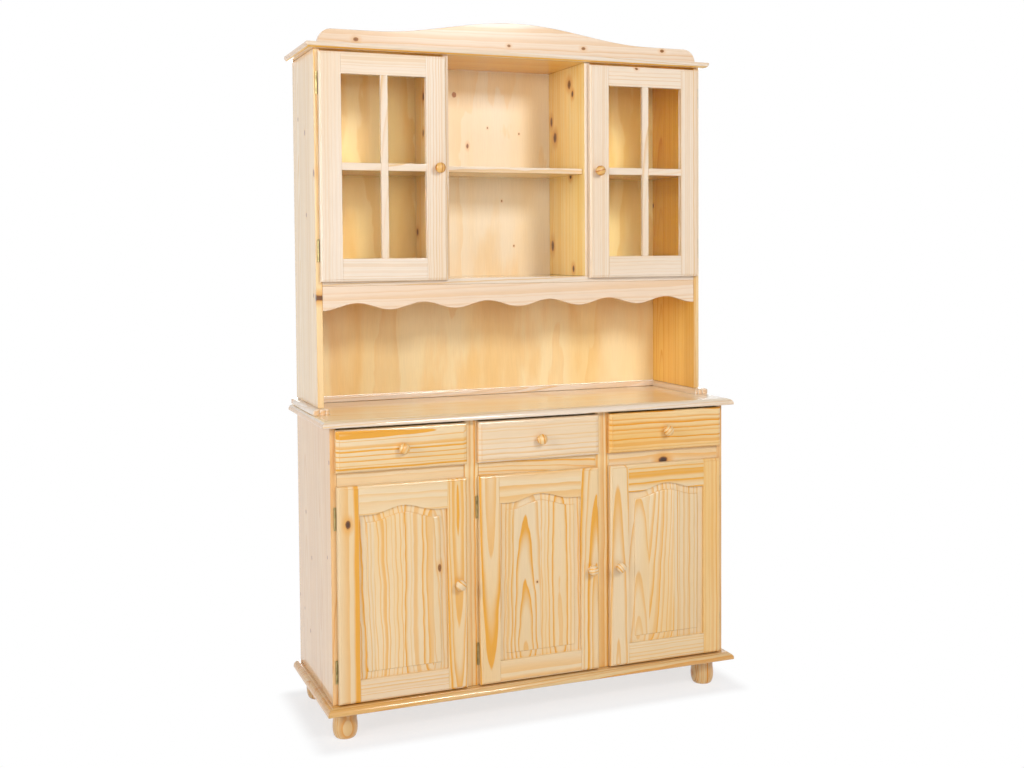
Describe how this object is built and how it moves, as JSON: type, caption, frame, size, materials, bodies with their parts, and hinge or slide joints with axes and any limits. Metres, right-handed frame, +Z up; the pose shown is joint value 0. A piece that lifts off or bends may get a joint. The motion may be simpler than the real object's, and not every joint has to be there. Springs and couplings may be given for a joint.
{
  "type": "display cabinet",
  "caption": "Pine dresser: drawers over raised-panel cupboard doors on bun feet, with a hutch of glazed doors, open shelves, a scalloped apron and a niche above.",
  "frame": {"origin": "on the floor, in the middle of the cabinet's bounding box", "axes": "+Z up, +X to the right seen from the front, front towards -Y"},
  "size_m": [1.282, 0.4678, 2.0243],
  "materials": {
    "pine": "clear satin lacquer",
    "pine_pale": "clear satin lacquer",
    "pine_amber": "clear satin lacquer",
    "glass": "clear",
    "brass": "dull, lightly aged"
  },
  "bodies": {
    "cabinet": {"plinth_board": "pine", "foot_front_left": "pine_amber", "foot_front_right": "pine_amber", "foot_rear_left": "pine_amber", "foot_rear_right": "pine_amber", "base_side_left": "pine_pale", "base_side_right": "pine_pale", "base_divider_left": "pine", "base_divider_right": "pine", "drawer_deck": "pine", "base_back_panel": "pine_amber", "worktop": "pine_pale", "hutch_base_frame": "pine_pale", "hutch_side_left": "pine_pale", "hutch_side_right": "pine_pale", "hutch_floor_board": "pine_pale", "scalloped_apron": "pine_pale", "hutch_divider_left": "pine", "hutch_divider_right": "pine", "hutch_shelf_left": "pine", "hutch_shelf_centre": "pine", "hutch_shelf_right": "pine", "hutch_back_panel": "pine_amber", "cornice_board": "pine_pale", "crown_board": "pine_pale", "base_door_left_hinge_upper": "brass", "base_door_left_hinge_lower": "brass", "base_door_centre_hinge_upper": "brass", "base_door_centre_hinge_lower": "brass", "base_door_right_hinge_upper": "brass", "base_door_right_hinge_lower": "brass", "glass_door_left_hinge_upper": "brass", "glass_door_left_hinge_lower": "brass", "glass_door_right_hinge_upper": "brass", "glass_door_right_hinge_lower": "brass"},
    "base_door_left": {"base_door_left_frame": "pine", "base_door_left_panel": "pine_pale", "base_door_left_knob": "pine"},
    "base_door_centre": {"base_door_centre_frame": "pine", "base_door_centre_panel": "pine_pale", "base_door_centre_knob": "pine"},
    "base_door_right": {"base_door_right_frame": "pine", "base_door_right_panel": "pine_pale", "base_door_right_knob": "pine"},
    "glass_door_left": {"glass_door_left_frame": "pine_pale", "glass_door_left_glass": "glass", "glass_door_left_knob": "pine"},
    "glass_door_right": {"glass_door_right_frame": "pine_pale", "glass_door_right_glass": "glass", "glass_door_right_knob": "pine"},
    "drawer_left": {"drawer_left_front": "pine_pale", "drawer_left_box": "pine_amber", "drawer_left_knob": "pine"},
    "drawer_centre": {"drawer_centre_front": "pine_pale", "drawer_centre_box": "pine_amber", "drawer_centre_knob": "pine"},
    "drawer_right": {"drawer_right_front": "pine_pale", "drawer_right_box": "pine_amber", "drawer_right_knob": "pine"}
  },
  "joints": [
    {"name": "base_door_left_swing", "type": "hinge", "parent": "cabinet", "child": "base_door_left", "pos_m": [-0.6038, -0.1894, 0.109], "axis": [0, 0, -1], "range_deg": [0, 110]},
    {"name": "base_door_centre_swing", "type": "hinge", "parent": "cabinet", "child": "base_door_centre", "pos_m": [-0.19113, -0.1894, 0.109], "axis": [0, 0, -1], "range_deg": [0, 110]},
    {"name": "base_door_right_swing", "type": "hinge", "parent": "cabinet", "child": "base_door_right", "pos_m": [0.6038, -0.1894, 0.109], "axis": [0, 0, 1], "range_deg": [0, 110]},
    {"name": "glass_door_left_swing", "type": "hinge", "parent": "cabinet", "child": "glass_door_left", "pos_m": [-0.6078, -0.0514, 1.267], "axis": [0, 0, -1], "range_deg": [0, 110]},
    {"name": "glass_door_right_swing", "type": "hinge", "parent": "cabinet", "child": "glass_door_right", "pos_m": [0.6078, -0.0514, 1.267], "axis": [0, 0, 1], "range_deg": [0, 110]},
    {"name": "drawer_left_slide", "type": "slide", "parent": "cabinet", "child": "drawer_left", "axis": [0, -1, 0], "range_m": [0, 0.26]},
    {"name": "drawer_centre_slide", "type": "slide", "parent": "cabinet", "child": "drawer_centre", "axis": [0, -1, 0], "range_m": [0, 0.26]},
    {"name": "drawer_right_slide", "type": "slide", "parent": "cabinet", "child": "drawer_right", "axis": [0, -1, 0], "range_m": [0, 0.26]}
  ]
}
